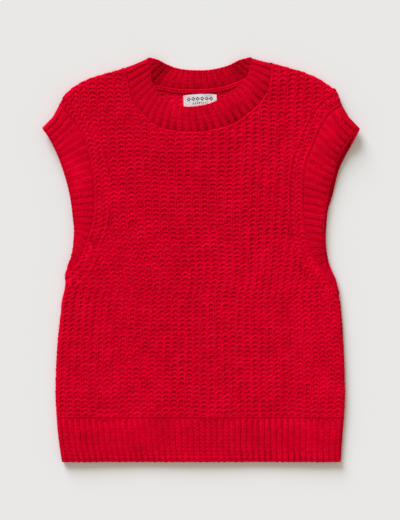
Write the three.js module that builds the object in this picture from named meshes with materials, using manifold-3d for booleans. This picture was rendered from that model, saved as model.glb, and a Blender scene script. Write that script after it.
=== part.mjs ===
// A chunky knitted sweater vest with a ribbed crew neck, ribbed armholes and a deep ribbed hem, laid flat on
// its back. Millimetres. +Z is up from the surface that it lies on, +X is to the right as it is seen from above,
// and +Y runs from the hem to the neck. The origin is on the surface, under the middle of the vest.
//
// The back layer lies on the surface and the front layer lies on it. Each layer is a wall of knitted cloth, and
// the two turn round into each other at the folds: the sides, the shoulders, and the ends of the bands.
import * as THREE from "three";
import { mergeVertices } from "three/addons/utils/BufferGeometryUtils.js";
import Module from "manifold-3d";

const wasm = await Module();
wasm.setup();

// Cloth
const WALL = 3.2; // knitted cloth between its raised wales
const WALE_RIDGE = 1.2; // how far a wale of the body stands up
const RIB_RIDGE = 0.8; // how far a rib of a band or the hem stands up
const SEAM = 0.3; // between two pieces that are sewn together

// How the two layers lie
const LAYER_GAP = 1.7; // between the layers in the middle of the body
const LARGEST_GAP = 3.7;
const FOLD_REACH = 7; // how far in from an outline the cloth has turned flat
const FOLD_SWELL = { height: 1.6, width: 38 }; // how much further apart the layers stand beside a fold
const NECK_LIFT = { height: 1.7, y: 232, width: 75, squeeze: 1.3 }; // the front neckband stands off the back
const HEM_LIFT = { height: 0.9, width: 45, waves: 2.5 }; // waves across the width of the front hem
const ARM_LIFT = { height: 1.3, x: [120, 180], y: [-60, 20] }; // from where to where it grows
const TIP_LIFT = { height: 5, x: [165, 238], y: [60, 195] }; // the shoulder tips stand off the surface

// Knitting
const WALES = 39; // raised wales across the body
const HEM_RIBS = 48;
const NECK_RIBS = { front: 28, back: 21 };
const ARM_RIBS = { front: 24, back: 12 };
const BODY_ROWS = 13;
const HEM_ROWS = 3;

const HEM_SEAM_Y = -235;
const HEM_EDGE_Y = -303;

// The side folds, from the hem up to the underarm. From there on they only space the wales.
const LEFT_SIDE = [
  { x: -209, y: -303 },
  { x: -214, y: -270 },
  { x: -217, y: -237 },
  { x: -219, y: -205 },
  { x: -217, y: -140 },
  { x: -210, y: -67 },
  { x: -205, y: -27 },
  { x: -234, y: 45 },
  { x: -247, y: 180 },
  { x: -255, y: 310 },
];
const RIGHT_SIDE = [
  { x: 210, y: -303 },
  { x: 212, y: -270 },
  { x: 215, y: -237 },
  { x: 217, y: -205 },
  { x: 215, y: -140 },
  { x: 210, y: -67 },
  { x: 208, y: -54 },
  { x: 234, y: 45 },
  { x: 247, y: 180 },
  { x: 255, y: 310 },
];

// The shoulder folds, from the left armhole to the right one. Between the two neck points there is no cloth.
const SHOULDERS = [
  { x: -262, y: 172 },
  { x: -238, y: 198 },
  { x: -222, y: 214.5 },
  { x: -212, y: 235 },
  { x: -206, y: 246 },
  { x: -194, y: 258 },
  { x: -170, y: 272 },
  { x: -122, y: 287 },
  { x: -77, y: 303 },
  { x: 76, y: 303 },
  { x: 118, y: 293 },
  { x: 166, y: 278 },
  { x: 190, y: 264 },
  { x: 205, y: 249 },
  { x: 212, y: 233 },
  { x: 222.5, y: 213.5 },
  { x: 238, y: 197 },
  { x: 262, y: 172 },
];

// Seams and free edges of the bands, each from fold to fold. The front and back of one band share their ends.
const NECK = {
  frontSeam: [
    [-114, 289], [-110, 267], [-101, 234], [-87, 218], [-68, 201], [-41, 193], [-8, 191],
    [16, 194], [48, 203], [70, 218], [88, 234], [101, 254], [106, 275], [106, 296],
  ],
  frontEdge: [
    [-78, 303], [-76, 285], [-73, 268], [-66, 254], [-54, 242], [-37, 233], [-15, 230],
    [9, 234], [25, 240], [41, 250], [54, 259], [65, 270], [72, 283], [74, 303],
  ],
  backSeam: [
    [-114, 289], [-99, 275], [-77, 264], [-51, 258], [-21, 255], [9, 256], [33, 259], [54, 266], [73, 275],
    [91, 285], [106, 296],
  ],
  backEdge: [
    [-78, 303], [-65, 300], [-50, 293], [-31, 287], [-8, 285], [16, 286], [41, 292], [57, 299], [74, 303],
  ],
  bow: 0,
  lag: 0,
};
const LEFT_ARM = {
  seam: [
    [-212, 235], [-192, 211], [-176, 185], [-166, 153], [-160, 120], [-159, 86], [-161, 60], [-168, 36],
    [-179, 5], [-189, -11], [-205, -27],
  ],
  frontEdge: [
    [-238, 198], [-228, 183], [-216, 159], [-207, 135], [-200, 111], [-195, 87], [-192, 63], [-190, 45],
    [-191, 21], [-193, 6], [-198, -8],
  ],
  backEdge: [
    [-238, 198], [-227, 182], [-214, 158], [-205, 135], [-198, 111], [-193, 87], [-190, 63], [-188, 45],
    [-190, 21], [-192, 6], [-198, -8],
  ],
  bow: 3.5, // how far the fold at the shoulder bends in, half way across the band
  lag: 4, // how far the seam's ends of the lower ribs trail behind, so that the ribs stay level
};
const RIGHT_ARM = {
  seam: [
    [212, 233], [190, 218], [174, 189], [166, 169], [156, 143], [153, 110], [153, 77], [155, 53], [160, 30],
    [169, 3], [181, -16], [193, -36], [208, -54],
  ],
  frontEdge: [
    [238, 197], [218, 171], [206, 149], [199, 126], [193, 105], [188, 77], [185, 53], [185, 29], [186, 4],
    [190, -12], [201, -29],
  ],
  backEdge: [
    [238, 197], [226, 173], [214, 151], [206, 132], [197, 96], [191, 77], [188, 53], [187, 29], [189, 7],
    [193, -11], [201, -29],
  ],
  bow: 3,
  lag: 6,
};

// Soft troughs and ridges of the front layer: a line, how wide its slope is, and how high it stands.
const CREASES = [
  { x0: -153, y0: -100, x1: -150, y1: -225, width: 15, height: -0.8 },
  { x0: -176, y0: -90, x1: -172, y1: -220, width: 14, height: 0.7 },
  { x0: 134, y0: -95, x1: 137, y1: -230, width: 15, height: -0.9 },
  { x0: 158, y0: -110, x1: 160, y1: -220, width: 14, height: 0.6 },
  { x0: -180, y0: 2, x1: -118, y1: 42, width: 16, height: -0.7 },
  { x0: 176, y0: -8, x1: 122, y1: 36, width: 16, height: -0.7 },
];

// The woven label inside the back of the neck
const LABEL = { width: 50, height: 20, thickness: 1, x: -2, y: 239, tilt: 2, rise: 1.5, columns: 8 };

// The prisms that cut the panels along the seams
const CUT_LOW = -40;
const CUT_HIGH = 60;
const CUT_STEP = 5; // along a seam
const CUT_FAR = 330; // past the cloth

// How the faces are divided
const TURNS = [0, 0.12, 0.45]; // places on a fold, as shares of its reach
const BAND_TURNS = [0, 0.3];
const SETTLING_PASSES = 4; // to find a point that is at its shares both across and up the vest
const RIB_FADE = [0.02, 0.12]; // shares of a band's half over which its ribs grow from a fold
const RIB_EDGE = 0.55; // share of a rib's height that is left at its two ends
const BOW_REACH = 40; // how far in from a bent fold the band is bent with it

/** A smooth value from a table of points, read along one of their coordinates. */
function readTable(table, from, to, at) {
  const last = table.length - 1;
  const i = Math.min(Math.max(table.findIndex((p) => p[from] > at), 1), last);
  const k = at > table[last][from] ? last : i;
  const [a, b] = [table[k - 1], table[k]];
  const [before, after] = [table[Math.max(k - 2, 0)], table[Math.min(k + 1, last)]];
  const step = b[from] - a[from];
  const u = THREE.MathUtils.clamp((at - a[from]) / step, 0, 1);
  const slopeA = ((b[to] - before[to]) / (b[from] - before[from])) * step;
  const slopeB = ((after[to] - a[to]) / (after[from] - a[from])) * step;
  const h = [2 * u ** 3 - 3 * u ** 2 + 1, u ** 3 - 2 * u ** 2 + u, -2 * u ** 3 + 3 * u ** 2, u ** 3 - u ** 2];
  return h[0] * a[to] + h[1] * slopeA + h[2] * b[to] + h[3] * slopeB;
}

const leftSide = (y) => readTable(LEFT_SIDE, "y", "x", y);
const rightSide = (y) => readTable(RIGHT_SIDE, "y", "x", y);
const shoulder = (x) => readTable(SHOULDERS, "x", "y", x);
const bell = (distance, width) => Math.exp(-((distance / width) ** 2));

/** How far a point is inside the nearest fold of the outline. */
function foldDistance(x, y) {
  const slope = shoulder(x + 1) - shoulder(x);
  return Math.min(x - leftSide(y), rightSide(y) - x, (shoulder(x) - y) / Math.hypot(1, slope));
}

/** How high a crease lifts the front layer at a point. */
function creaseHeight({ x0, y0, x1, y1, width, height }, x, y) {
  const line = new THREE.Line3(new THREE.Vector3(x0, y0), new THREE.Vector3(x1, y1));
  const point = new THREE.Vector3(x, y);
  const nearest = line.closestPointToPoint(point, true, new THREE.Vector3());
  return height * bell(nearest.distanceTo(point), width);
}

/** A value that grows with a lift's rise, across and up the vest. */
function liftShare({ x, y }, across, up) {
  return THREE.MathUtils.smoothstep(Math.abs(across), ...x) * THREE.MathUtils.smoothstep(up, ...y);
}

/** The gap between the two layers. */
function gapAt(x, y) {
  const beside = FOLD_SWELL.height * bell(Math.max(foldDistance(x, y), 0), FOLD_SWELL.width);
  const fromNeck = Math.hypot(x, (y - NECK_LIFT.y) * NECK_LIFT.squeeze);
  const neck = NECK_LIFT.height * bell(fromNeck, NECK_LIFT.width);
  const across = (x - leftSide(y)) / (rightSide(y) - leftSide(y));
  const wave = 1 + 0.5 * Math.sin(across * HEM_LIFT.waves * 2 * Math.PI);
  const hem = HEM_LIFT.height * wave * bell(y - HEM_EDGE_Y, HEM_LIFT.width);
  const arm = ARM_LIFT.height * liftShare(ARM_LIFT, x, y);
  const creases = CREASES.reduce((sum, crease) => sum + creaseHeight(crease, x, y), 0);
  return Math.min(LAYER_GAP + beside + neck + hem + arm + creases, LARGEST_GAP);
}

/** How flat the cloth is at a distance from its fold, from 0 on the fold to 1 past its reach. */
function turned(distance, reach) {
  const short = 1 - THREE.MathUtils.clamp(distance / reach, 0, 1);
  return Math.sqrt(1 - short * short);
}

/** Heights of the cloth's four faces at a point, from how flat the outer and inner faces are there. */
function heights(x, y, flatOuter, flatInner) {
  const lift = TIP_LIFT.height * liftShare(TIP_LIFT, x, y);
  const half = WALL + gapAt(x, y) / 2;
  const middle = lift + half;
  return {
    middle,
    frontOuter: middle + half * flatOuter,
    frontInner: middle + (half - WALL) * flatInner,
    backOuter: middle - half * flatOuter,
    backInner: middle - (half - WALL) * flatInner,
  };
}

/** A solid from merged points and triangles. */
function solidFrom(points, triangles) {
  const vertProperties = new Float32Array(points.flat());
  const triVerts = new Uint32Array(triangles);
  return new wasm.Manifold(new wasm.Mesh({ numProp: 3, vertProperties, triVerts }));
}

/** Triangles between a lower and an upper border that run the same way, with any counts of points. */
function bridge(triangles, lower, upper) {
  const [ends, tops] = [lower.length - 1, upper.length - 1];
  let i = 0;
  let j = 0;
  while (i < ends || j < tops) {
    const onLower = j === tops || (i < ends && (i + 1) / ends <= (j + 1) / tops);
    triangles.push(lower[i], ...(onLower ? [lower[i + 1], upper[j]] : [upper[j + 1], upper[j]]));
    if (onLower) i += 1;
    else j += 1;
  }
}

/** The four borders of a grid of point numbers, in order round it. */
function bordersOf(grid) {
  const last = grid[0].length - 1;
  return [
    grid.map((column) => column[0]),
    grid[grid.length - 1],
    grid.map((column) => column[last]).reverse(),
    [...grid[0]].reverse(),
  ];
}

/** Adds a grid of points, and its faces, which face up or down. Returns the grid of point numbers. */
function addGrid(points, triangles, grid, facesUp) {
  const numbers = grid.map((column) => column.map((point) => points.push(point) - 1));
  for (let i = 0; i < grid.length - 1; i += 1) {
    for (let j = 0; j < grid[0].length - 1; j += 1) {
      const [a, b, c, d] = [numbers[i][j], numbers[i + 1][j], numbers[i + 1][j + 1], numbers[i][j + 1]];
      triangles.push(...(facesUp ? [a, b, c, a, c, d] : [a, c, b, a, d, c]));
    }
  }
  return numbers;
}

/** A wall of cloth between a grid of outer points and a grid of inner points. */
function wallBetween(outer, inner, outerFacesUp) {
  const points = [];
  const triangles = [];
  const outerBorders = bordersOf(addGrid(points, triangles, outer, outerFacesUp));
  const innerBorders = bordersOf(addGrid(points, triangles, inner, !outerFacesUp));
  outerBorders.forEach((border, side) => {
    if (outerFacesUp) bridge(triangles, innerBorders[side], border);
    else bridge(triangles, border, innerBorders[side]);
  });
  return solidFrom(points, triangles);
}

/** Places across the cloth: turned places at both folds, and wales or plain steps between them. */
function columnPlaces(steps, reach, start) {
  const turns = TURNS.map((share) => ({ from: 0, offset: start + share * reach }));
  const flat = Array.from({ length: steps + 1 }, (_, i) => {
    return { from: i / steps, offset: FOLD_REACH * (1 - (2 * i) / steps), raised: i % 2 === 1 };
  });
  const ends = turns.map(({ offset }) => ({ from: 1, offset: -offset })).reverse();
  return [...turns, ...flat, ...ends];
}

/** One face of a layer between the side folds, as a grid of points. */
function layerFace({ steps, rows, low, high, topTurns, inner, height, ridge }) {
  const start = inner ? WALL : 0;
  const reach = FOLD_REACH - start;
  const flats = Array.from({ length: rows + 1 }, (_, i) => {
    return { share: i / rows, down: topTurns ? -FOLD_REACH * (i / rows) : 0 };
  });
  const places = topTurns ? TURNS : [];
  const turns = places.map((share) => ({ share: 1, down: -(start + share * reach) })).reverse();
  return columnPlaces(steps, reach, start).map(({ from, offset, raised }) =>
    [...flats, ...turns].map(({ share, down }) => {
      let y = low;
      let x = 0;
      for (let pass = 0; pass < SETTLING_PASSES; pass += 1) {
        x = THREE.MathUtils.lerp(leftSide(y), rightSide(y), from) + offset;
        y = THREE.MathUtils.lerp(low, topTurns ? shoulder(x) : high, share) + down;
      }
      const side = Math.min(x - leftSide(y), rightSide(y) - x) - start;
      const top = topTurns ? shoulder(x) - y - start : reach;
      const flat = turned(side, reach) * turned(top, reach);
      return [x, y, height(x, y, flat) + (raised ? ridge * flat : 0)];
    }),
  );
}

/** A prism to cut with, over an outline of points. */
function prism(outline) {
  const shape = new THREE.Shape(outline.map(([x, y]) => new THREE.Vector2(x, y)));
  const block = new THREE.ExtrudeGeometry(shape, { depth: CUT_HIGH - CUT_LOW, bevelEnabled: false });
  block.translate(0, 0, CUT_LOW);
  block.deleteAttribute("normal");
  block.deleteAttribute("uv");
  const merged = mergeVertices(block, 1e-4);
  return new wasm.Manifold(
    new wasm.Mesh({
      numProp: 3,
      vertProperties: merged.attributes.position.array,
      triVerts: new Uint32Array(merged.index.array),
    }),
  );
}

const splineOf = (table) => new THREE.SplineCurve(table.map(([x, y]) => new THREE.Vector2(x, y)));

/** Points along a seam, moved sideways by the seam's gap, which is to the right of the way it runs. */
function seamPoints(table, gap) {
  const spline = splineOf(table);
  const count = Math.round(spline.getLength() / CUT_STEP);
  return Array.from({ length: count + 1 }, (_, i) => {
    const p = spline.getPointAt(i / count);
    const along = spline.getTangentAt(i / count);
    return [p.x + along.y * gap, p.y - along.x * gap];
  });
}

/** What lies above a neck seam. */
function neckCut(seam) {
  return prism([[seam[0][0], CUT_FAR], ...seamPoints(seam, SEAM), [seam.at(-1)[0], CUT_FAR]]);
}

/** What lies outside an armhole seam, on the left (-1) or the right (1). */
function armCut(seam, side) {
  const far = side * CUT_FAR;
  return prism([[far, CUT_FAR], ...seamPoints(seam, side * SEAM), [far, seam.at(-1)[1]]]);
}

// The two walls meet in the middle of a fold, where half a seam's gap is left above and below.
const frontHeights = {
  outer: (x, y, flat) => heights(x, y, flat, 0).frontOuter + SEAM / 2,
  inner: (x, y, flat) => heights(x, y, 0, flat).frontInner + SEAM / 2,
};
const backHeights = {
  outer: (x, y, flat) => heights(x, y, flat, 0).backOuter - (SEAM / 2) * (1 - flat),
  inner: (x, y, flat) => heights(x, y, 0, flat).backInner - SEAM / 2,
};

/** A panel or a hem: the wall between its outer and inner faces. */
function layerWall({ front, shape, ribs, ridge }) {
  const side = front ? frontHeights : backHeights;
  const steps = front ? 2 * ribs : ribs;
  const outer = layerFace({ ...shape, steps, inner: false, height: side.outer, ridge });
  const inner = layerFace({ ...shape, steps: ribs, inner: true, height: side.inner, ridge: 0 });
  return wallBetween(outer, inner, front);
}

/** Stations along half a band: a share of its length and an offset from there, in millimetres. */
function bandStations(ribs, start) {
  const reach = FOLD_REACH - start;
  const turn = BAND_TURNS.map((share) => {
    return { share: 0, offset: start + share * reach, flat: turned(share, 1) };
  });
  const middle = Array.from({ length: 2 * ribs + 1 }, (_, i) => {
    return { share: i / (2 * ribs), offset: FOLD_REACH * (1 - i / ribs), flat: 1, peak: i % 2 === 1 };
  });
  const end = turn.map((station) => ({ ...station, share: 1, offset: -station.offset })).reverse();
  return [...turn, ...middle, ...end];
}

/** One face of half a band, as rows of points from seam to free edge at each station. */
function bandFace({ seam, edge, ribs, bow, lag, inner, height, ridge }) {
  const curves = [splineOf(seam), splineOf(edge)];
  const lengths = curves.map((curve) => curve.getLength());
  const inward = curves[0].getTangentAt(0);
  return bandStations(ribs, inner ? WALL : 0).map(({ share, offset, flat, peak }) => {
    const trail = [lag * share ** 7 * (1 - share) ** 2, 0];
    const ends = curves.map((curve, k) => {
      return curve.getPointAt(THREE.MathUtils.clamp(share - trail[k] + offset / lengths[k], 0, 1));
    });
    const bend = bow * (1 - THREE.MathUtils.smoothstep(share * lengths[1] + offset, 0, BOW_REACH));
    const fade = THREE.MathUtils.smoothstep(Math.min(share, 1 - share), ...RIB_FADE);
    return [0, 0.5, 1].map((across) => {
      const p = ends[0].clone().lerp(ends[1], across);
      p.addScaledVector(inward, across === 0.5 ? bend : 0);
      const raised = peak ? ridge * fade * (across === 0.5 ? 1 : RIB_EDGE) : 0;
      return [p.x, p.y, height(p.x, p.y, flat) + raised];
    });
  });
}

/** A whole band: its front half and its back half, joined at both folds into one ring of cloth. */
function bandRing({ frontSeam, frontEdge, backSeam, backEdge, bow, lag }, ribs, backRidge, turnsLeft) {
  const frontHalf = { seam: frontSeam, edge: frontEdge, ribs: ribs.front, bow, lag };
  const backHalf = { seam: backSeam, edge: backEdge, ribs: ribs.back, bow, lag };
  const face = (half, inner, key, ridge) => {
    const height = (x, y, flat) => heights(x, y, inner ? 0 : flat, inner ? flat : 0)[key];
    return bandFace({ ...half, inner, height, ridge });
  };
  const frontOuter = face(frontHalf, false, "frontOuter", RIB_RIDGE);
  const frontInner = face(frontHalf, true, "frontInner", 0);
  const backOuter = face(backHalf, false, "backOuter", 0);
  const backInner = face(backHalf, true, "backInner", backRidge);
  const outer = [...frontOuter, ...backOuter.slice(1, -1).reverse()];
  const inner = [backInner[0], ...frontInner.slice(1, -1), ...backInner.slice(1).reverse()];
  const triangles = [];
  const across = outer[0].length;
  const count = outer.length;
  const at = (station, j, inside) => ((inside ? count : 0) + (station % count)) * across + j;
  const quad = (a, b, c, d) => triangles.push(...(turnsLeft ? [a, b, c, a, c, d] : [a, c, b, a, d, c]));
  const edge = across - 1;
  for (let i = 0; i < count; i += 1) {
    for (let j = 0; j < edge; j += 1) {
      quad(at(i, j, false), at(i + 1, j, false), at(i + 1, j + 1, false), at(i, j + 1, false));
      quad(at(i, j + 1, true), at(i + 1, j + 1, true), at(i + 1, j, true), at(i, j, true));
    }
    quad(at(i, 0, true), at(i + 1, 0, true), at(i + 1, 0, false), at(i, 0, false));
    quad(at(i, edge, false), at(i + 1, edge, false), at(i + 1, edge, true), at(i, edge, true));
  }
  return solidFrom([...outer.flat(), ...inner.flat()], triangles);
}

/** The label: a folded ribbon that lies on the inside of the back panel. */
function labelSolid() {
  const floor = heights(LABEL.x, LABEL.y, 1, 1).backInner;
  const face = (z) =>
    Array.from({ length: LABEL.columns + 1 }, (_, i) =>
      [-0.5, 0.5].map((up) => {
        const side = i / LABEL.columns - 0.5;
        const bow = LABEL.rise * (1 - (2 * side) ** 2);
        const place = new THREE.Vector2(side * LABEL.width, up * LABEL.height + bow);
        place.rotateAround(new THREE.Vector2(), THREE.MathUtils.degToRad(LABEL.tilt));
        return [LABEL.x + place.x, LABEL.y + place.y, z];
      }),
    );
  return wallBetween(face(floor + SEAM + LABEL.thickness), face(floor + SEAM), true);
}

const COLOURS = { wool: 0xc2031f, woolShade: 0xb8021c, ribbon: 0xeceae4 };

/** A named mesh of a solid. */
function mesh(name, solid, colour) {
  const { numProp, vertProperties, triVerts } = solid.getMesh();
  const positions = new Float32Array((vertProperties.length / numProp) * 3);
  for (let i = 0; i < positions.length / 3; i += 1) {
    positions.set(vertProperties.subarray(i * numProp, i * numProp + 3), i * 3);
  }
  const geometry = new THREE.BufferGeometry()
    .setAttribute("position", new THREE.BufferAttribute(positions, 3))
    .setIndex(new THREE.BufferAttribute(triVerts, 1));
  geometry.computeVertexNormals();
  const material = new THREE.MeshStandardMaterial({ color: colour, roughness: 0.9, metalness: 0 });
  const made = new THREE.Mesh(geometry, material);
  made.name = name;
  return made;
}

const bodyShape = { low: HEM_SEAM_Y + SEAM / 2, topTurns: true, rows: BODY_ROWS };
const hemShape = { low: HEM_EDGE_Y, high: HEM_SEAM_Y - SEAM / 2, topTurns: false, rows: HEM_ROWS };
const armCuts = [armCut(LEFT_ARM.seam, -1), armCut(RIGHT_ARM.seam, 1)];

/** A front or back panel, cut along the armhole and neck seams. */
function panel(front, neckSeam) {
  const whole = layerWall({ front, shape: bodyShape, ribs: WALES, ridge: front ? WALE_RIDGE : 0 });
  return [...armCuts, neckCut(neckSeam)].reduce((left, cut) => left.subtract(cut), whole);
}

/** The front or back of the hem. */
function hem(front) {
  return layerWall({ front, shape: hemShape, ribs: HEM_RIBS, ridge: front ? RIB_RIDGE : 0 });
}

/** An armhole band, whose front and back are sewn on along the same line. */
function armband({ seam, ...rest }, turnsLeft) {
  return bandRing({ ...rest, frontSeam: seam, backSeam: seam }, ARM_RIBS, 0, turnsLeft);
}

const vest = new THREE.Group();
vest.add(
  mesh("front_panel", panel(true, NECK.frontSeam), COLOURS.wool),
  mesh("back_panel", panel(false, NECK.backSeam), COLOURS.woolShade),
  mesh("hem_rib_front", hem(true), COLOURS.wool),
  mesh("hem_rib_back", hem(false), COLOURS.woolShade),
  mesh("neckband", bandRing(NECK, NECK_RIBS, RIB_RIDGE, true), COLOURS.wool),
  mesh("armband_left", armband(LEFT_ARM, false), COLOURS.wool),
  mesh("armband_right", armband(RIGHT_ARM, true), COLOURS.wool),
  mesh("neck_label", labelSolid(), COLOURS.ribbon),
);

export default vest;
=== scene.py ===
"""A chunky knitted sweater vest laid flat on its back, seen straight from above.

The yarn is modelled stitch by stitch on thin shells of the cloth. Sizes are in millimetres until a
mesh is made.
"""
import math

import bmesh
import bpy
import numpy as np
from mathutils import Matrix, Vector


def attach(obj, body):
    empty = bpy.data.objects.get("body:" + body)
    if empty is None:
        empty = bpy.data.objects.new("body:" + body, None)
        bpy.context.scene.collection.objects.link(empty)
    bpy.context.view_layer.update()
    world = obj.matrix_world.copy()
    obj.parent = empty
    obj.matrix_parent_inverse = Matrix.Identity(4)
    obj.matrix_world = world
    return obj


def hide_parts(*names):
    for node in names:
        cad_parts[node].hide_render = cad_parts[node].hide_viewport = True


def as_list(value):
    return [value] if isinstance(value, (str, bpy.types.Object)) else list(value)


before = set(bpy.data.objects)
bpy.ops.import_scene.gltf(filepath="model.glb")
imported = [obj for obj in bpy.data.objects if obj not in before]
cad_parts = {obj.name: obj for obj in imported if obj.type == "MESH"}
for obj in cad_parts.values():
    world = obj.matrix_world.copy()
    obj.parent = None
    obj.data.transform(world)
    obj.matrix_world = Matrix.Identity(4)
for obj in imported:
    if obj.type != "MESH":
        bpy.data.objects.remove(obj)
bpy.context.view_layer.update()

MM = 0.001
rng = np.random.default_rng(7)

# The cloth, as in the solids
WALL = 3.2
LAYER_GAP = 1.7
LARGEST_GAP = 3.7
REACH = 7.0  # how far in from an outline the cloth has turned flat
ARC = 9.0  # length of the turned cloth from a fold to where it is flat
FOLD_SWELL = {"height": 1.6, "width": 38}
NECK_LIFT = {"height": 1.7, "y": 232, "width": 75, "squeeze": 1.3}
HEM_LIFT = {"height": 0.9, "width": 45, "waves": 2.5}
ARM_LIFT = {"height": 1.3, "x": (120, 180), "y": (-60, 20)}
TIP_LIFT = {"height": 5, "x": (165, 238), "y": (60, 195)}
HEM_SEAM_Y = -235
HEM_EDGE_Y = -303

# Knitting
WALES = 39
COURSE = 6.8  # height of one row of the body
HEM_RIBS = 48
RIB_COURSE = 5.6
YARN = 1.5  # radius of the yarn
TUCK = 1.1  # how far the stitches draw in at a fold, so that they end on the outline
FLOOR_CLEAR = 0.15  # yarn is pressed flat here by the surface that the vest lies on

# x and y of each table's rows
LEFT_SIDE = [
    (-209, -303), (-214, -270), (-217, -237), (-219, -205), (-217, -140), (-210, -67), (-205, -27),
    (-234, 45), (-247, 180), (-255, 310),
]
RIGHT_SIDE = [
    (210, -303), (212, -270), (215, -237), (217, -205), (215, -140), (210, -67), (208, -54), (234, 45),
    (247, 180), (255, 310),
]
SHOULDERS = [
    (-262, 172), (-238, 198), (-222, 214.5), (-212, 235), (-206, 246), (-194, 258), (-170, 272), (-122, 287),
    (-77, 303), (76, 303), (118, 293), (166, 278), (190, 264), (205, 249), (212, 233), (222.5, 213.5),
    (238, 197), (262, 172),
]
NECK = {
    "frontSeam": [
        (-114, 289), (-110, 267), (-101, 234), (-87, 218), (-68, 201), (-41, 193), (-8, 191), (16, 194),
        (48, 203), (70, 218), (88, 234), (101, 254), (106, 275), (106, 296),
    ],
    "frontEdge": [
        (-78, 303), (-76, 285), (-73, 268), (-66, 254), (-54, 242), (-37, 233), (-15, 230), (9, 234),
        (25, 240), (41, 250), (54, 259), (65, 270), (72, 283), (74, 303),
    ],
    "backSeam": [
        (-114, 289), (-99, 275), (-77, 264), (-51, 258), (-21, 255), (9, 256), (33, 259), (54, 266),
        (73, 275), (91, 285), (106, 296),
    ],
    "backEdge": [
        (-78, 303), (-65, 300), (-50, 293), (-31, 287), (-8, 285), (16, 286), (41, 292), (57, 299), (74, 303),
    ],
}
LEFT_SEAM = [
    (-212, 235), (-192, 211), (-176, 185), (-166, 153), (-160, 120), (-159, 86), (-161, 60), (-168, 36),
    (-179, 5), (-189, -11), (-205, -27),
]
LEFT_ARM = {
    "frontSeam": LEFT_SEAM,
    "frontEdge": [
        (-238, 198), (-228, 183), (-216, 159), (-207, 135), (-200, 111), (-195, 87), (-192, 63), (-190, 45),
        (-191, 21), (-193, 6), (-198, -8),
    ],
    "backSeam": LEFT_SEAM,
    "backEdge": [
        (-238, 198), (-227, 182), (-214, 158), (-205, 135), (-198, 111), (-193, 87), (-190, 63), (-188, 45),
        (-190, 21), (-192, 6), (-198, -8),
    ],
}
RIGHT_SEAM = [
    (212, 233), (190, 218), (174, 189), (166, 169), (156, 143), (153, 110), (153, 77), (155, 53), (160, 30),
    (169, 3), (181, -16), (193, -36), (208, -54),
]
RIGHT_ARM = {
    "frontSeam": RIGHT_SEAM,
    "frontEdge": [
        (238, 197), (218, 171), (206, 149), (199, 126), (193, 105), (188, 77), (185, 53), (185, 29), (186, 4),
        (190, -12), (201, -29),
    ],
    "backSeam": RIGHT_SEAM,
    "backEdge": [
        (238, 197), (226, 173), (214, 151), (206, 132), (197, 96), (191, 77), (188, 53), (187, 29), (189, 7),
        (193, -11), (201, -29),
    ],
}
BOW_REACH = 40  # how far in from a bent fold a band is bent with it
CREASES = [  # from, to, width and height of each soft trough or ridge
    ((-153, -100), (-150, -225), 15, -0.8),
    ((-176, -90), (-172, -220), 14, 0.7),
    ((134, -95), (137, -230), 15, -0.9),
    ((158, -110), (160, -220), 14, 0.6),
    ((-180, 2), (-118, 42), 16, -0.7),
    ((176, -8), (122, 36), 16, -0.7),
]


# The form of the cloth


def table_reader(table, key, value):
    """A smooth function through a table's points."""
    k = np.array([row[key] for row in table], float)
    v = np.array([row[value] for row in table], float)
    lower = np.concatenate(([0], np.arange(len(k) - 1)))
    upper = np.concatenate((np.arange(1, len(k)), [len(k) - 1]))
    slope = (v[upper] - v[lower]) / (k[upper] - k[lower])

    def read(at):
        at = np.asarray(at, float)
        i = np.clip(np.searchsorted(k, at, side="right"), 1, len(k) - 1)
        step = k[i] - k[i - 1]
        u = np.clip((at - k[i - 1]) / step, 0, 1)
        return ((2 * u**3 - 3 * u**2 + 1) * v[i - 1] + (u**3 - 2 * u**2 + u) * slope[i - 1] * step
                + (-2 * u**3 + 3 * u**2) * v[i] + (u**3 - u**2) * slope[i] * step)

    return read


left_side = table_reader(LEFT_SIDE, 1, 0)
right_side = table_reader(RIGHT_SIDE, 1, 0)
shoulder = table_reader(SHOULDERS, 0, 1)


def smoothstep(x, low, high):
    t = np.clip((x - low) / (high - low), 0, 1)
    return t * t * (3 - 2 * t)


def bell(distance, width):
    return np.exp(-((distance / width) ** 2))


def lift_share(lift, x, y):
    return smoothstep(np.abs(x), *lift["x"]) * smoothstep(y, *lift["y"])


def layers(x, y):
    """(middle, half): the height half way between the layers' outer faces, and from there to each face."""
    slope = shoulder(x + 1) - shoulder(x)
    from_top = (shoulder(x) - y) / np.hypot(1, slope)
    inside = np.minimum(np.minimum(x - left_side(y), right_side(y) - x), from_top)
    gap = LAYER_GAP + FOLD_SWELL["height"] * bell(np.maximum(inside, 0), FOLD_SWELL["width"])
    from_neck = np.hypot(x, (y - NECK_LIFT["y"]) * NECK_LIFT["squeeze"])
    gap += NECK_LIFT["height"] * bell(from_neck, NECK_LIFT["width"])
    across = (x - left_side(y)) / (right_side(y) - left_side(y))
    wave = 1 + 0.5 * np.sin(across * HEM_LIFT["waves"] * 2 * math.pi)
    gap += HEM_LIFT["height"] * wave * bell(y - HEM_EDGE_Y, HEM_LIFT["width"])
    gap += ARM_LIFT["height"] * lift_share(ARM_LIFT, x, y)
    for (x0, y0), (x1, y1), width, height in CREASES:
        run, rise = x1 - x0, y1 - y0
        along = np.clip(((x - x0) * run + (y - y0) * rise) / (run**2 + rise**2), 0, 1)
        gap += height * bell(np.hypot(x - x0 - along * run, y - y0 - along * rise), width)
    half = WALL + np.minimum(gap, LARGEST_GAP) / 2
    return TIP_LIFT["height"] * lift_share(TIP_LIFT, x, y) + half, half


def turned(a):
    """How far cloth at the arc a from its fold is turned, and how far in it lies."""
    turn = np.clip(a / ARC, -1, 1) * math.pi / 2
    return turn, REACH * (1 - np.cos(turn)) + np.maximum(np.abs(a) - ARC, 0)


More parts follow.
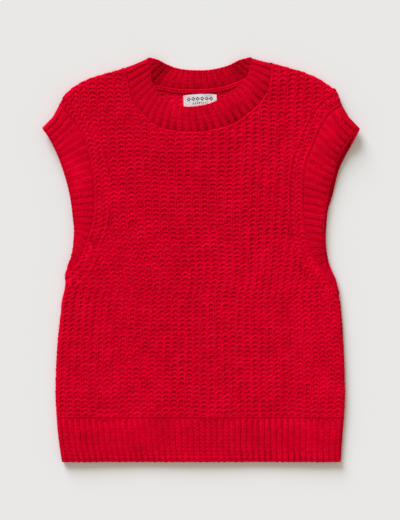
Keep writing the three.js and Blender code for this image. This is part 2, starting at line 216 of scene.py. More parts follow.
def wrapped(flat, inward, turn, w):
    """Points of turned cloth above or below flat (..., 2), moved out by w, and its outward normals."""
    middle, half = layers(flat[..., 0], flat[..., 1])
    out, up = half * np.cos(turn), REACH * np.sin(turn)
    size = np.hypot(out, up)
    normal = np.concatenate((-inward * (out / size)[..., None], (up / size)[..., None]), axis=-1)
    point = np.concatenate((flat, (middle + half * np.sin(turn))[..., None]), axis=-1)
    return point + normal * (w - TUCK * out / size)[..., None], normal


def facing_up(x, y, z):
    """Points, and normals that all point up."""
    normal = np.zeros(x.shape + (3,))
    normal[..., 2] = 1
    return np.stack((x, y, z), -1), normal


FAR = 1e3  # further than any fold
TOP_FROM = 60  # y above which the shoulder's fold may be the nearest
SIDES_TO = 100  # y up to which the side folds run


def lay_body(x, y, w):
    """The outer face of the body's cloth. x and y are as on the front layer, and wrap round its folds."""
    low, high = left_side(y), right_side(y)
    slope = shoulder(x + 1) - shoulder(x)
    tilt = np.hypot(1, slope)
    from_top = (shoulder(x) - y) / tilt
    sides = np.stack((x - low, high - x, np.where(y > TOP_FROM, from_top, FAR)))
    sides[:2] += np.where(y > SIDES_TO, FAR, 0)
    which = np.argmin(sides, axis=0)
    inside = np.take_along_axis(sides, which[None], axis=0)[0]
    zero, one = np.zeros_like(x), np.ones_like(x)
    base = np.where((which == 0)[..., None], np.stack((low, y), -1), np.stack((high, y), -1))
    inward = np.where((which == 0)[..., None], np.stack((one, zero), -1), np.stack((-one, zero), -1))
    down = np.stack((slope / tilt, -one / tilt), -1)
    here = np.stack((x, y), -1)
    top = (which == 2)[..., None]
    base = np.where(top, here - down * from_top[..., None], base)
    inward = np.where(top, down, inward)
    turn, distance = turned(inside + ARC - REACH)
    return wrapped(base + inward * distance[..., None], inward, turn, w)


def span_points(a, b, c, d, u):
    """Points at the shares u of the smooth span from b to c, which lies between a and d."""
    v0, v1 = (c - a) / 2, (d - b) / 2
    return (2 * b - 2 * c + v0 + v1) * u**3 + (-3 * b + 3 * c - 2 * v0 - v1) * u**2 + v0 * u + b


class Curve:
    """A smooth curve through points, read by its length in millimetres."""

    def __init__(self, points):
        p = np.array(points, float)
        before = np.vstack((p[:1], p[:-1]))
        after = np.vstack((p[2:], p[-1:], p[-1:]))
        u = np.linspace(0, 1, 24, endpoint=False)[:, None]
        spans = []
        for a, b, c, d in zip(before[:-1], p[:-1], p[1:], after[:-1]):
            spans.append(span_points(a, b, c, d, u))
        self.points = np.vstack(spans + [p[-1:]])
        steps = np.hypot(*np.diff(self.points, axis=0).T)
        self.along = np.concatenate(([0], np.cumsum(steps)))
        self.length = self.along[-1]

    def at(self, distance):
        """The point at a distance along, which runs straight on past both ends."""
        x = np.interp(distance, self.along, self.points[:, 0])
        y = np.interp(distance, self.along, self.points[:, 1])
        first, last = self.points[1] - self.points[0], self.points[-1] - self.points[-2]
        before = np.minimum(distance, 0)[..., None] * first / np.linalg.norm(first)
        after = np.maximum(distance - self.length, 0)[..., None] * last / np.linalg.norm(last)
        return np.stack((x, y), -1) + before + after

    def way(self, distance):
        step = self.at(distance + 2) - self.at(distance - 2)
        return step / np.linalg.norm(step, axis=-1, keepdims=True)

    def distance_to(self, x, y):
        """(signed distance, place along): positive to the right of the way the curve runs."""
        here = np.stack((x, y), -1)[..., None, :]
        a, b = self.points[:-1], self.points[1:]
        span = b - a
        t = np.clip(((here - a) * span).sum(-1) / (span**2).sum(-1), 0, 1)
        off = here - a - span * t[..., None]
        gap = np.hypot(off[..., 0], off[..., 1])
        i = np.argmin(gap, axis=-1)

        def nearest(values):
            return np.take_along_axis(values, i[..., None], axis=-1)[..., 0]

        cross = span[i, 0] * nearest(off[..., 1]) - span[i, 1] * nearest(off[..., 0])
        return -np.sign(cross) * nearest(gap), self.along[i] + nearest(t) * np.hypot(span[i, 0], span[i, 1])


END_RISE = (16, 52)  # from a neck point, where the inside of the back comes down from the front's height
AHEAD = 0.03  # share of a band's length over which the way in from its fold is read


class Band:
    """A ribbed band that is folded flat at its two ends."""

    def __init__(self, table, bow=0.0, lag=0.0):
        self.curves = {name: Curve(points) for name, points in table.items()}
        self.bow = bow  # how far the fold at the shoulder bends in, half way across the band
        self.lag = lag  # how far the seam's ends of the lower ribs trail behind
        self.length = (self.curves["frontSeam"].length + self.curves["frontEdge"].length) / 2
        self.back_length = (self.curves["backSeam"].length + self.curves["backEdge"].length) / 2

    def point(self, half, s, t):
        """The point at the share s along a half of the band and t from its seam to its free edge."""
        seam, edge = self.curves[half + "Seam"], self.curves[half + "Edge"]
        inside = np.clip(s, 0, 1)
        a = seam.at((s - self.lag * inside**7 * (1 - inside) ** 2) * seam.length)
        b = edge.at(s * edge.length)
        bend = self.bow * (1 - smoothstep(s * edge.length, 0, BOW_REACH)) * (1 - np.abs(2 * t - 1))
        return a + (b - a) * t[..., None] + seam.way(0 * s) * bend[..., None]

    def lay(self, s, t, w):
        """Outer face of the band: s from 0 to 1 is its front, and past that it wraps round onto the back."""
        m = np.minimum(s, 1 - s) * self.length + ARC - REACH
        first = s < 0.5
        turn, distance = turned(m)
        share = distance / np.where(m > 0, self.length, self.back_length)
        share = np.where(first, share, 1 - share)
        flat = np.where((m > 0)[..., None], self.point("front", share, t), self.point("back", share, t))
        ahead = self.point("front", np.where(first, AHEAD, 1 - AHEAD) + 0 * s, t)
        inward = ahead - self.point("front", np.where(first, 0.0, 1.0) + 0 * s, t)
        inward /= np.linalg.norm(inward, axis=-1, keepdims=True)
        return wrapped(flat, inward, turn, w)

    def lay_inside(self, s, t, w):
        """Upper face of the band's back half, which shows inside the neck."""
        x, y = np.moveaxis(self.point("back", s, t), -1, 0)
        middle, half = layers(x, y)
        inside, _ = self.curves["frontEdge"].distance_to(x, y)
        from_end = np.minimum(s, 1 - s) * self.back_length
        rise = (2 * half - WALL) * (1 - smoothstep(from_end, *END_RISE)) * smoothstep(-inside, -3, 0)
        return facing_up(x, y, middle - (half - WALL) + rise + w)


# Yarn


def smooth_path(left, count):
    """count points on a smooth open path through the rows of a left half and their mirror images."""
    k = np.array(left + [(-across, *rest) for across, *rest in left[::-1] if across])
    before = np.vstack((2 * k[:1] - k[1:2], k[:-2]))
    after = np.vstack((k[2:], 2 * k[-1:] - k[-2:-1]))
    place = np.linspace(0, len(k) - 1, count)
    i = np.minimum(place.astype(int), len(k) - 2)
    u = (place - i)[:, None]
    return span_points(before[i], k[i], k[i + 1], after[i], u)


# Left half of each stitch, whose right half mirrors it: across the wale, up the course, out from the
# cloth in millimetres, and the yarn's thickness
ARCH = [  # the raised loop of the half-cardigan stitch
    (-0.43, -1.02, -0.8, 0.95), (-0.43, -0.70, 0.1, 1.15), (-0.415, -0.32, 0.35, 1.2),
    (-0.36, 0.02, 0.2, 1.25), (-0.20, 0.19, -0.2, 1.35), (0.0, 0.24, -0.3, 1.4),
]
STRAND = [(-0.40, -0.62, -1.6, 0.8), (-0.22, -0.42, -1.05, 0.9), (0.0, -0.36, -0.9, 0.95)]  # tucked behind
VEE = [  # a plain knit stitch
    (-0.14, 1.20, -1.0, 0.95), (-0.20, 0.90, -0.25, 1.15), (-0.20, 0.52, 0.0, 1.28),
    (-0.15, 0.14, 0.0, 1.28), (-0.06, -0.14, -0.2, 1.15), (0.0, -0.26, -0.6, 1.0),
]
RIDGE = [  # a long knit stitch, two of which overlap in a rib
    (-0.12, 2.15, -0.9, 1.1), (-0.13, 1.60, -0.15, 1.3), (-0.13, 0.95, 0.0, 1.35),
    (-0.11, 0.40, -0.1, 1.35), (-0.04, -0.05, -0.8, 1.2),
]
PURL = [(-0.24, 0.0, -1.7, 0.9), (-0.13, 0.10, -1.3, 1.1), (0.0, 0.13, -1.2, 1.2)]  # between two ribs
ARCH_PATH = smooth_path(ARCH, 17)
STRAND_PATH = smooth_path(STRAND, 7)
VEE_PATH = smooth_path(VEE, 15)
RIDGE_PATH = smooth_path(RIDGE, 15)
PURL_PATH = smooth_path(PURL, 6)
TINY = 1e-9  # keeps a length from being 0


def tubes(points, normals, radii, sides=6, closed=False, flat=1.0):
    """Vertices, quads and (along, round) coordinates of tubes along (count, steps, 3) points.

    flat is a tube's height over its width.
    """
    if closed:
        way = np.roll(points, -1, axis=1) - np.roll(points, 1, axis=1)
    else:
        way = np.gradient(points, axis=1)
    way /= np.linalg.norm(way, axis=-1, keepdims=True) + TINY
    side = np.cross(way, normals)
    side /= np.linalg.norm(side, axis=-1, keepdims=True) + TINY
    up = np.cross(side, way) * flat
    turn = np.arange(sides)[:, None] / sides * 2 * math.pi
    ring = (side[:, :, None] * np.cos(turn) + up[:, :, None] * np.sin(turn)) * radii[..., None, None]
    verts = points[:, :, None] + ring
    count, steps = points.shape[:2]
    spans = steps if closed else steps - 1
    n, s, k = np.meshgrid(np.arange(count), np.arange(spans), np.arange(sides), indexing="ij")
    s2, k2 = (s + 1) % steps, (k + 1) % sides
    corners = ((s, k), (s, k2), (s2, k2), (s2, k))
    quads = np.stack([(n * steps + step) * sides + place for step, place in corners], -1).reshape(-1, 4)
    lengths = np.linalg.norm(np.diff(points, axis=1, append=points[:, :1]), axis=-1)
    along = np.concatenate((np.zeros((count, 1)), np.cumsum(lengths, axis=1)), axis=1)
    ends = ((s, k), (s, k + 1), (s + 1, k + 1), (s + 1, k))
    uvs = np.stack([np.stack((along[n, step], place / sides), -1) for step, place in ends], -2)
    return verts.reshape(-1, 3), quads, uvs.reshape(-1, 2)


def new_object(name, data):
    """A new object in the scene."""
    obj = bpy.data.objects.new(name, data)
    bpy.context.collection.objects.link(obj)
    return obj


def finish_piece(name, data, slot, stands_for=None):
    """The object of a finished mesh, which rides on the one body."""
    obj = new_object(name, data)
    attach(obj, "root")
    if stands_for:
        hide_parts(stands_for)
    return obj


def data_of(name, mesh, material):
    """The data of a finished mesh."""
    data = bpy.data.meshes.new(name)
    mesh.to_mesh(data)
    mesh.free()
    data.materials.append(material)
    return data


def write_tones(data, tones):
    """Keeps a tone at each point of a mesh, which the wool's material reads."""
    layer = data.attributes.new("shade", "FLOAT", "POINT")
    layer.data.foreach_set("value", tones.astype(np.float32))


def mesh_of(name, verts, faces, tones, material):
    """A mesh of points in millimetres, and of faces that all have as many corners."""
    data = bpy.data.meshes.new(name)
    data.vertices.add(len(verts))
    data.vertices.foreach_set("co", (verts * MM).astype(np.float32).ravel())
    data.loops.add(faces.size)
    data.loops.foreach_set("vertex_index", faces.astype(np.int32).ravel())
    data.polygons.add(len(faces))
    data.polygons.foreach_set("loop_start", np.arange(0, faces.size, faces.shape[1], dtype=np.int32))
    data.update(calc_edges=True)
    data.polygons.foreach_set("use_smooth", np.ones(len(faces), bool))
    write_tones(data, tones)
    data.materials.append(material)
    return data


def yarn_object(name, parts, tones, slot):
    """One piece of many tubes. parts holds what tubes() gives, and tones a number for each tube."""
    verts, quads, uvs, at_points = [], [], [], []
    total = 0
    for (v, q, uv), tone in zip(parts, tones):
        verts.append(v)
        quads.append(q + total)
        uvs.append(uv)
        at_points.append(np.repeat(tone, len(v) // len(tone)))
        total += len(v)
    verts = np.vstack(verts)
    verts[:, 2] = np.maximum(verts[:, 2], FLOOR_CLEAR)
    data = mesh_of(name, verts, np.vstack(quads), np.concatenate(at_points), yarn_wool)
    layer = data.uv_layers.new(name="UVMap")
    layer.data.foreach_set("uv", (np.vstack(uvs) * (MM, 1)).astype(np.float32).ravel())
    return finish_piece(name, data, slot)


# Materials


def linear(text):
    """Linear RGBA of an sRGB hex colour."""
    values = [int(text[i:i + 2], 16) / 255 for i in (1, 3, 5)]
    return [v / 12.92 if v <= 0.04045 else ((v + 0.055) / 1.055) ** 2.4 for v in values] + [1.0]


def new_material(name, sockets):
    """A material, its node tree and its shader, with the shader's sockets set."""
    material = bpy.data.materials.new(name)
    material.use_nodes = True
    shader = material.node_tree.nodes["Principled BSDF"]
    for socket, value in sockets.items():
        shader.inputs[socket].default_value = value
    return material, material.node_tree, shader


def add(tree, kind, inputs, **settings):
    """Adds a node. inputs gives each socket a constant or another node's output."""
    node = tree.nodes.new("ShaderNode" + kind)
    for name, value in settings.items():
        setattr(node, name, value)
    for socket, value in inputs.items():
        if isinstance(value, bpy.types.NodeSocket):
            tree.links.new(value, node.inputs[socket])
        else:
            node.inputs[socket].default_value = value
    return node


WOOL = {  # dull fibre with a faint glow at a glancing angle
    "Roughness": 0.92,
    "Specular IOR Level": 0.02,
    "Sheen Weight": 0.06,
    "Sheen Roughness": 0.6,
    "Sheen Tint": linear("#FF3040"),
}
PATCHES_SCALE = 35  # soft patches about 30 mm across
FIBRE_SCALE = 1400  # tufts of fibre under a millimetre, coarser than single fibres so that they show
PATCHES_SHARE = 0.5
FIBRE_SHARE = 0.3
MIDDLE_STOP = 0.45
LIGHT_STOP = 0.75
PLY_TURN = 5.5 * MM  # along the yarn, in which its two plies turn once


def wool(name, dark, mid, light, ply=True):
    """Spun wool blend: two plies that show as slanting lines, fine fibre, and a tone for each stitch."""
    material, tree, shader = new_material(name, WOOL)
    place = add(tree, "TexCoord", {}).outputs["Object"]
    cloud = add(tree, "TexNoise", {"Vector": place, "Scale": PATCHES_SCALE, "Detail": 3}).outputs["Fac"]
    fibre = add(tree, "TexNoise", {"Vector": place, "Scale": FIBRE_SCALE, "Detail": 3}).outputs["Fac"]
    tone = add(tree, "Attribute", {}, attribute_name="shade").outputs["Fac"]
    patches = add(tree, "Math", {0: cloud, 1: PATCHES_SHARE, 2: tone}, operation="MULTIPLY_ADD").outputs[0]
    fine = add(tree, "Math", {0: fibre, 1: FIBRE_SHARE, 2: patches}, operation="MULTIPLY_ADD").outputs[0]
    ramp = add(tree, "ValToRGB", {"Fac": fine})
    stops = ramp.color_ramp.elements
    stops[0].color = linear(dark)
    stops[1].position = LIGHT_STOP
    stops[1].color = linear(light)
    stops.new(MIDDLE_STOP).color = linear(mid)
    bump = add(tree, "Bump", {"Strength": 0.6, "Distance": 0.4 * MM, "Height": fibre}).outputs["Normal"]
    if ply:
        uv = add(tree, "UVMap", {}, uv_map="UVMap").outputs["UV"]
        along_round = add(tree, "SeparateXYZ", {"Vector": uv}).outputs
        turn = add(tree, "Math", {0: along_round["Y"], 1: 4 * math.pi}, operation="MULTIPLY").outputs[0]
        twist = {0: along_round["X"], 1: 2 * math.pi / PLY_TURN, 2: turn}
        slant = add(tree, "Math", twist, operation="MULTIPLY_ADD").outputs[0]
        wave = add(tree, "Math", {0: slant}, operation="SINE").outputs[0]
        plies = {"Strength": 0.5, "Distance": 0.3 * MM, "Height": wave, "Normal": bump}
        bump = add(tree, "Bump", plies).outputs["Normal"]
    tree.links.new(ramp.outputs["Color"], shader.inputs["Base Color"])
    tree.links.new(bump, shader.inputs["Normal"])
    return material


# Red wool-blend yarn, which looks soft, dull and twisted
yarn_wool = wool("red_wool_yarn", "#B8001B", "#DB0029", "#EA0637")
# The same yarn behind the stitches, which fills their gaps with a plain warm red
shade_wool = wool("red_wool_behind", "#A80018", "#EA0029", "#F60A2F", ply=False)
# Loose fibres of the same wool, which make its edges look fluffy
fibre_wool = wool("red_wool_fibre", "#C80022", "#E0022C", "#EC0A38", ply=False)


# The shells behind the stitches

SHELLS = {  # slot, how far the outer face lies behind the solid's, and how light it is beside the front's; the bands' cloth is painted darker, as painted shade in the grooves between their ribs
    "front_panel": ("knit", 1.5, 0),
    "back_panel": ("knit", 1.5, 0.02),
    "hem_rib_front": ("rib", 1.4, -0.15),
    "hem_rib_back": ("rib", 1.4, -0.15),
    "neckband": ("rib", 0.87, -0.18),
    "armband_left": ("rib", 0.87, -0.08),
    "armband_right": ("rib", 0.87, -0.18),
}
BARE = (12, 20)  # in from a fold, where the stitches end on the side that the vest lies on
UNDER_TO = 150  # x up to which the underside rests on the floor
NECK_SINK = 1.3  # how far the inside of the back lies down behind the stitches that show through the neck
NECK_PART = {"y": (195, 215), "x": (90, 105)}  # where that is
OUTER_FROM = 0.6  # share of the wall that counts as its outer face
FOLD_SINK = 1.2  # how much further the outer face goes back at a fold
FOLD_DRAW = 1.2  # how far the cloth behind the stitches is drawn in all along a fold
TIP = {"x": 215, "y": 200, "reach": 60}  # the tips of the armhole bands, which keep their fold
FOLDS_FROM = {"x": 150, "y": 200}  # folds are past one of these
# Where a seam meets a fold: x and y, how far round that the cloth is drawn in, and how far right and up
CORNERS = [(-208, -27.5, 6, 3.4, 0), (208, -54, 20, -2, 0), (-212, 235, 20, 2, -2), (212, 233, 20, -2, -2)]


def sink_and_shift(x, y, z, slot, depth):
    """How far each point of a solid goes back along its normal, and its move across (..., 2)."""
    middle, half = layers(x, y)
    outer = np.abs(z - middle) > half - WALL * OUTER_FROM
    gaps = np.stack((x - left_side(y), right_side(y) - x, shoulder(x) - y))
    inside = gaps.min(axis=0)
    under = (z < middle) & (np.abs(x) < UNDER_TO)
    sink = np.where(outer, depth * np.where(under, 1 - smoothstep(inside, *BARE), 1), 0)
    by_neck = smoothstep(y, *NECK_PART["y"]) * (1 - smoothstep(np.abs(x), *NECK_PART["x"]))
    sink = np.where(~outer & (z < middle), (NECK_SINK if slot == "knit" else depth) * by_neck, sink)
    from_tip = np.hypot(x - np.sign(x) * TIP["x"], y - TIP["y"]) > TIP["reach"]
    folds = (np.abs(x) > FOLDS_FROM["x"]) | (y > FOLDS_FROM["y"])
    at_fold = (np.abs(inside) < REACH) & folds & (from_tip | (slot == "knit"))
    sink = np.where(outer & at_fold, np.maximum(sink, depth + FOLD_SINK * (1 - inside / REACH)), sink)
    inward = np.array([(1, 0), (-1, 0), (0, -1)])[gaps.argmin(axis=0)]
    draw_in = FOLD_DRAW * (1 - np.clip(inside / REACH, 0, 1)) if slot == "knit" else 0 * x
    shift = inward * draw_in[:, None]
    for corner_x, corner_y, reach, *draw in CORNERS:
        shift += (1 - smoothstep(np.hypot(x - corner_x, y - corner_y) / reach, 0.2, 1))[:, None] * draw
    return sink, shift


def shell(node, slot, depth, tone):
    """A thin copy of a solid, for the cloth behind the stitches."""
    name = node + "_cloth"
    mesh = bmesh.new()
    mesh.from_mesh(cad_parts[node].data)
    bmesh.ops.remove_doubles(mesh, verts=mesh.verts, dist=1e-6)
    mesh.normal_update()
    x, y, z = np.array([v.co for v in mesh.verts]).T / MM
    sink, shift = sink_and_shift(x, y, z, slot, depth)
    for v, back, (right, up) in zip(mesh.verts, sink, shift):
        v.co += Vector((right, up, 0)) * MM - v.normal * back * MM
    for face in mesh.faces:
        face.smooth = True
    data = data_of(name, mesh, shade_wool)
    # the tone paints the bands' cloth darker: painted shade in the grooves between their ribs
    write_tones(data, np.full(len(data.vertices), tone))
    return finish_piece(name, data, slot, node)


shells = {node: shell(node, *values) for node, values in SHELLS.items()}

# The stitches

neck_front = Curve(NECK["frontSeam"])
neck_back = Curve(NECK["backSeam"])
arm_seams = [Curve(LEFT_SEAM), Curve(RIGHT_SEAM)]
EDGE_WALES = (6.0, 17.0)  # wales that run along an armhole seam, in from it
EDGE_CLEAR = 20.5  # where the upright wales stop beside those
EDGE_OVERLAP = 2  # how far kept ones may lie past that
SEAM_CLEAR = 0.9  # where the stitches stop below the neckband
NECK_OVERLAP = 3  # how far kept ones may lie past the neck's seam
SPARE = {"side": 9, "shoulder": 7}  # how far past a fold stitches go
NECK_BOX = {"x": (-114, 106), "y": 185}  # the neck's seam lies in this, from y up
NECK_NEAR = {"x": (-135, 127), "y": 170}  # stitches in this may meet the neck's seam
ARM_NEAR = {"x": 110, "below": 12}  # as may those past x, down to this far below an armhole
ARM_REACH = {"below": 3, "spare": 8}  # where the body's stitches end at the top of an armhole
BODY_ROWS = 82
BODY_SPLITS = (-72, 72)  # x where the front's stitches part into three pieces
RIB_LIFT = -0.7  # the ribs are shallow, so their stitches lie lower in the cloth
# Height of the yarn over its width, as pressed in the knitting
FLAT = {"body": 0.5, "hem": 0.5, "rib": 0.4, "low_rib": 0.26, "purl": 0.35}
PATCHES = 0.09  # how much the yarn's thickness changes from patch to patch
# Waves of the rows: height, and turn for each wale, for each millimetre up, and at the start
ROW_WAVES = [(1.3, 0.42, 0.02, 0), (0.8, 0.9, 0.013, 1.3)]
WALE_SWAY = {"width": 0.9, "up": 0.031, "across": 0.35}
FIRST_ROW = 3.4  # up from the hem's seam


def jitter(count, amount):
    """A small random change for each stitch."""
    return rng.normal(0, amount, count)


def wale_xy(k, r):
    """Where a place in the knitting lies: k wales across and r courses up."""
    y = HEM_SEAM_Y + FIRST_ROW + COURSE * r
    x = left_side(y) + (right_side(y) - left_side(y)) * k / WALES
    x = x + WALE_SWAY["width"] * np.sin(y * WALE_SWAY["up"] + k * WALE_SWAY["across"])
    wave = sum(height * np.sin(k * across + start + up * y) for height, across, up, start in ROW_WAVES)
    return x, y + wave


def shades(count):
    """A tone for each stitch."""
    return rng.normal(-0.01, 0.05, count)


def on_inside(x, y, w):
    """The upper face of the back layer, which shows through the neck."""
    middle, half = layers(x, y)
    return facing_up(x, y, middle - (half - WALL) + w)


def loops(path, k, r, place, lift=0.0, thick=1.0, sides=6, slack=1.0, flat=1.0):
    """Tubes of one kind of stitch at wales k and rows r, and their points and normals.

    place turns (wale, row, height) into points and normals. slack is how uneven the stitches are.
    """
    n = len(k)
    p = path[None, :, 0] * (1 + jitter(n, 0.04 * slack))[:, None] + jitter(n, 0.02 * slack)[:, None]
    q = path[None, :, 1] * (1 + jitter(n, 0.06 * slack))[:, None] + jitter(n, 0.04 * slack)[:, None]
    lean = jitter(n, 0.03 * slack)[:, None] * path[None, :, 0] * 3
    w = path[None, :, 2] + jitter(n, 0.16 * slack)[:, None] + lift
    points, normals = place(k[:, None] + p, r[:, None] + q + lean, w)
    slub = 1 + rng.normal(0, 0.05, (n, len(path)))
    patch = np.sin(k * 0.9 + 1.1 * np.sin(r * 0.23)) * np.sin(r * 0.41 + 0.7 * np.sin(k * 0.6)) * PATCHES
    radii = YARN * thick * path[None, :, 3] * (1 + patch + jitter(n, 0.06))[:, None] * slub
    return tubes(points, normals, radii, sides, flat=flat), points, normals


def grid(wales, rows):
    """Wale and row of each stitch of a rectangle."""
    return (v.ravel().astype(float) for v in np.meshgrid(wales, rows, indexing="ij"))


def near_arm(curve, side, x, y):
    """Which places may meet an armhole's seam."""
    return (x * side > ARM_NEAR["x"]) & (y > curve.points[:, 1].min() - ARM_NEAR["below"])


def beside(curve, along):
    """Which places lie beside a curve, rather than past its ends."""
    return (along > 0) & (along < curve.length - 0.01)


def body_keep():
    """Wale and row of the body's stitches, without those that the armholes and the neck leave out."""
    k, r = grid(np.arange(-1, WALES + 2), np.arange(0, BODY_ROWS))
    x, y = wale_xy(k, r)
    keep = (x > left_side(y) - SPARE["side"]) & (x < right_side(y) + SPARE["side"])
    slope = shoulder(x + 1) - shoulder(x)
    keep &= (shoulder(x) - y) / np.hypot(1, slope) > -SPARE["shoulder"]
    gap, _ = neck_front.distance_to(x, y)
    low, high = NECK_BOX["x"]
    keep &= ~((x > low) & (x < high) & (y > NECK_BOX["y"]) & (gap < -NECK_OVERLAP))
    for curve, side in zip(arm_seams, (-1, 1)):
        near = near_arm(curve, side, x, y)
        gap, along = curve.distance_to(x, y)
        keep &= ~(near & (gap * side < EDGE_CLEAR - EDGE_OVERLAP) & beside(curve, along))
        top_x, top_y = curve.points[0]
        reach = np.abs(top_x) + np.where(y > top_y - ARM_REACH["below"], ARM_REACH["spare"], 0)
        keep &= ~(near & (x * side > reach) & (y > 0))
    return k[keep], r[keep]


EDGE_FROM = 8  # from an armhole seam's lower end to the first stitch of the wales along it
EDGE_WALE = 10.6  # width of those


def along_seam(curve, side, offset):
    """A place in a wale that runs along an armhole seam, offset millimetres in from it."""

    def place(k, r, w):
        along = curve.length - EDGE_FROM - COURSE * r
        way = curve.way(along)
        inward = np.stack((-way[..., 1], way[..., 0]), -1) * -side
        at = curve.at(along) + inward * (offset - side * EDGE_WALE * k)[..., None]
        return lay_body(at[..., 0], at[..., 1], w)

    return place


def clear_of(curve, side, margin, x, y, near):
    """Moves the points near a seam to at least a margin from it, on its right (1) or its left (-1)."""
    gap, along = curve.distance_to(x[near], y[near])
    way = curve.way(along)
    push = np.where(beside(curve, along), np.maximum(margin - gap * side, 0), 0) * side
    x[near] += way[..., 1] * push
    y[near] -= way[..., 0] * push


def place_body(k, r, w):
    """Body stitches, pressed together where they meet the neckband and the wales beside the armholes."""
    x, y = wale_xy(k, r)
    low, high = NECK_NEAR["x"]
    clear_of(neck_front, 1, SEAM_CLEAR, x, y, (x > low) & (x < high) & (y > NECK_NEAR["y"]))
    for curve, side in zip(arm_seams, (-1, 1)):
        clear_of(curve, side, EDGE_CLEAR, x, y, near_arm(curve, side, x, y))
    return lay_body(x, y, w)


def picked(part, pick):
    """The tubes of a part that pick marks, with their faces counted anew."""
    verts, quads, uvs = part
    n = len(pick)
    v, q = verts.reshape(n, -1, 3), quads.reshape(n, -1, 4)
    q = q[pick] - (np.flatnonzero(pick) - np.arange(pick.sum()))[:, None, None] * v.shape[1]
    return v[pick].reshape(-1, 3), q.reshape(-1, 4), uvs.reshape(n, -1, 4, 2)[pick].reshape(-1, 2)


def make_body():
    """The front's stitches, in three pieces from left to right, and all their points and normals."""
    k, r = body_keep()
    found = [loops(path, k, r, place_body, sides=5, flat=FLAT["body"]) for path in (ARCH_PATH, STRAND_PATH)]
    for curve, side in zip(arm_seams, (-1, 1)):
        for offset in EDGE_WALES:
            rows = np.arange(int((curve.length - 4) / COURSE) + 1).astype(float)
            place = along_seam(curve, side, offset)
            found.append(loops(ARCH_PATH, 0 * rows, rows, place, lift=-0.35, sides=5, flat=FLAT["body"]))
    made = []
    for i, name in enumerate(("left", "middle", "right")):
        parts, tones = [], []
        for part, points, _ in found:
            pick = np.digitize(points[:, 0, 0], BODY_SPLITS) == i
            if pick.any():
                parts.append(picked(part, pick))
                tones.append(shades(pick.sum()))
        made.append(yarn_object("front_stitches_" + name, parts, tones, "knit"))
    return made, found


HEM_ROWS = 12
HEM_FIRST = 1.2  # up from the hem's edge to its first row
HEM_ENDS = (2.4, 0.4)  # how far stitches keep from the hem's edge and seam
# Rows up from the hem's edge, and their tones: painted shade and light that darken the yarn towards the seam
# and lighten it at the edge, against how the light falls on the hem
HEM_PAINTED_SHADE = (0, 2.5, 8.5, 11), (0.04, -0.1, -0.1, -0.24)


def hem_place(k, r, w):
    """A place in the hem: k ribs across and r rows up."""
    y = HEM_EDGE_Y + HEM_FIRST + RIB_COURSE * r
    y = np.clip(y, HEM_EDGE_Y + HEM_ENDS[0], HEM_SEAM_Y - HEM_ENDS[1])
    low, high = left_side(y), right_side(y)
    return lay_body(low + (high - low) * k / HEM_RIBS, y, w)


def make_hem():
    """Ribs of the hem's front, and round its side folds."""
    found, tones = [], []
    kinds = (
        (RIDGE_PATH, np.arange(-1, HEM_RIBS + 1) + 0.5, {"lift": RIB_LIFT, "flat": FLAT["hem"]}),
        (PURL_PATH, np.arange(0, HEM_RIBS + 1), {"lift": -0.3, "thick": 1.7, "flat": FLAT["purl"]}),
    )
    for path, wales, look in kinds:
        k, r = grid(wales, np.arange(HEM_ROWS))
        found.append(loops(path, k, r, hem_place, sides=5, slack=0.5, **look))
        # the tone along the rows is painted shade and light: darker towards the seam, lighter at the edge
        tones.append(shades(len(k)) + np.interp(r, *HEM_PAINTED_SHADE))
    return yarn_object("hem_front_stitches", [part for part, _, _ in found], tones, "rib"), found


BAND_RIBS = {  # how many, and how much lighter than the body, in front and where the back's inside shows; these tones are painted shade and light on the one yarn: the neckband and the right band darker, the back's inside darkest down in the neck, the left band a little lighter
    "neckband": {"front": (28, -0.16), "inside": (21, -0.37)},
    "armband_left": {"front": (24, 0.04)},
    "armband_right": {"front": (24, -0.16)},
}
BAND_ROWS = 6
RIB_END = 0.93  # where the ribs end inside the yarn of the free edge
PURL_PAINTED_SHADE = -0.08  # painted shade: the purl stitches in the grooves between the ribs are darker
BAND_THICK = 1.2  # the bands' yarn looks thicker, as their ribs are stretched wider than the hem's


def band_place(lay, count):
    """A place in a band that has count ribs."""

    def place(k, r, w):
        across = (r + 0.15) / (BAND_ROWS + 0.1)  # from the seam, just inside it, to the free edge
        return lay(k / count, np.clip(across, -0.01, RIB_END), w)

    return place


def make_band(name, band):
    """Ribs of a band from its seam to its free edge, where they show."""
    found, tones = [], []
    for face, (count, tone) in BAND_RIBS[name].items():
        in_front = face == "front"
        place = band_place(band.lay if in_front else band.lay_inside, count)
        past = 1 if in_front else 0  # ribs past each end, which wrap round its fold
        flat = FLAT["low_rib" if name == "armband_left" or not in_front else "rib"]
        kinds = (
            (RIDGE_PATH, np.arange(-past, count + past) + 0.5, 0,
             {"lift": RIB_LIFT, "thick": BAND_THICK, "sides": 6, "flat": flat}),
            (PURL_PATH, np.arange(1 - past, count + past), PURL_PAINTED_SHADE,
             {"lift": -0.45, "thick": 1.9, "sides": 5, "flat": FLAT["purl"]}),
        )
        for path, wales, more, look in kinds:
            k, r = grid(wales, np.arange(BAND_ROWS))
            found.append(loops(path, k, r, place, slack=0.5, **look))
            # tone and more are painted shade and light on the body's yarn
            tones.append(shades(len(k)) + tone + more)
    return yarn_object(name + "_stitches", [part for part, _, _ in found], tones, "rib"), found


CHAIN = {"length": 5.0, "width": 9, "off": 1.8, "ends": 22}  # stitches of the chain below the back neckband
INSIDE = {"wales": (8, WALES - 7), "rows": (66, 73), "off": 3.5, "x": 85}  # what shows
BEHIND_LABEL = {"x": -2, "half": 22, "y": 246}  # left out, because the label covers it


